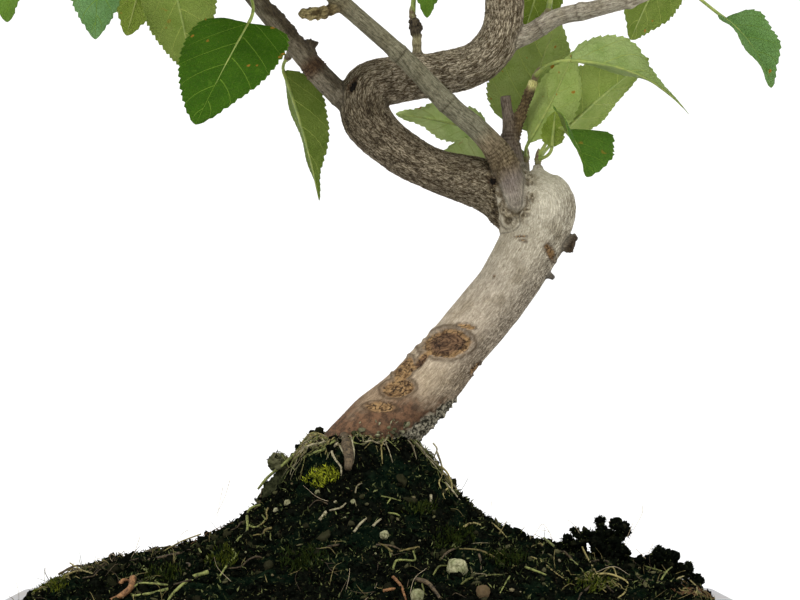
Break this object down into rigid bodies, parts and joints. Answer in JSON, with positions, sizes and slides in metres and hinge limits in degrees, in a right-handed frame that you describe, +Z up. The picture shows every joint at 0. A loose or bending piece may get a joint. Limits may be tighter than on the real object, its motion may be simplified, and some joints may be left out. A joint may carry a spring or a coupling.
{
  "type": "crabapple bonsai",
  "caption": "Crabapple bonsai with an S-shaped trunk and serrated leaves, on mounded soil in a shallow glazed rectangular pot.",
  "frame": {"origin": "on the ground under the middle of the pot, which is also under the middle of the crown", "axes": "+Z up, +X along the pot's long side to the viewer's right, -Y to the front, where the trunk's S shape shows"},
  "size_m": [0.3033, 0.2233, 0.4147],
  "materials": {
    "glaze": "satin grey-blue glaze, slightly mottled",
    "screen": "matte black",
    "soil": "damp, crumbly, near black, with moss and rootlets",
    "bark": "pale grey-brown bark, wrinkled at the bends, with brown scars",
    "leaf": "satin green above, paler and duller below"
  },
  "bodies": {
    "root": {"drain_screen_left": "screen", "drain_screen_right": "screen", "leaves_apex_1": "leaf", "leaves_apex_2": "leaf", "leaves_apex_end": "leaf", "leaves_back_branch_1": "leaf", "leaves_back_branch_2": "leaf", "leaves_back_branch_end": "leaf", "leaves_back_left_branch_1": "leaf", "leaves_back_left_branch_2": "leaf", "leaves_back_left_branch_end": "leaf", "leaves_back_tip": "leaf", "leaves_front_branch_2": "leaf", "leaves_front_branch_3": "leaf", "leaves_front_branch_end": "leaf", "leaves_front_left_branch_1": "leaf", "leaves_front_left_branch_2": "leaf", "leaves_front_left_branch_end": "leaf", "leaves_front_right_branch_1": "leaf", "leaves_front_right_branch_end": "leaf", "leaves_front_tip": "leaf", "leaves_knuckle_back": "leaf", "leaves_knuckle_left": "leaf", "leaves_knuckle_right": "leaf", "leaves_leader_twig": "leaf", "leaves_left_back_twig_1": "leaf", "leaves_left_back_twig_end": "leaf", "leaves_left_branch_1": "leaf", "leaves_left_branch_2": "leaf", "leaves_left_front_twig_1": "leaf", "leaves_left_front_twig_end": "leaf", "leaves_left_low": "leaf", "leaves_left_middle": "leaf", "leaves_left_outer": "leaf", "leaves_left_tip": "leaf", "leaves_right_back_twig_1": "leaf", "leaves_right_back_twig_end": "leaf", "leaves_right_branch_2": "leaf", "leaves_right_branch_end": "leaf", "leaves_right_fork": "leaf", "leaves_right_front_twig_1": "leaf", "leaves_right_front_twig_end": "leaf", "leaves_right_middle": "leaf", "leaves_right_outer": "leaf", "leaves_right_tip": "leaf", "leaves_scarred_spur": "leaf", "leaves_upper_left_branch_1": "leaf", "leaves_upper_left_branch_end": "leaf", "leaves_upper_right_branch_1": "leaf", "leaves_upper_right_branch_end": "leaf", "pot": "glaze", "soil": "soil", "tree": "bark"}
  },
  "joints": []
}
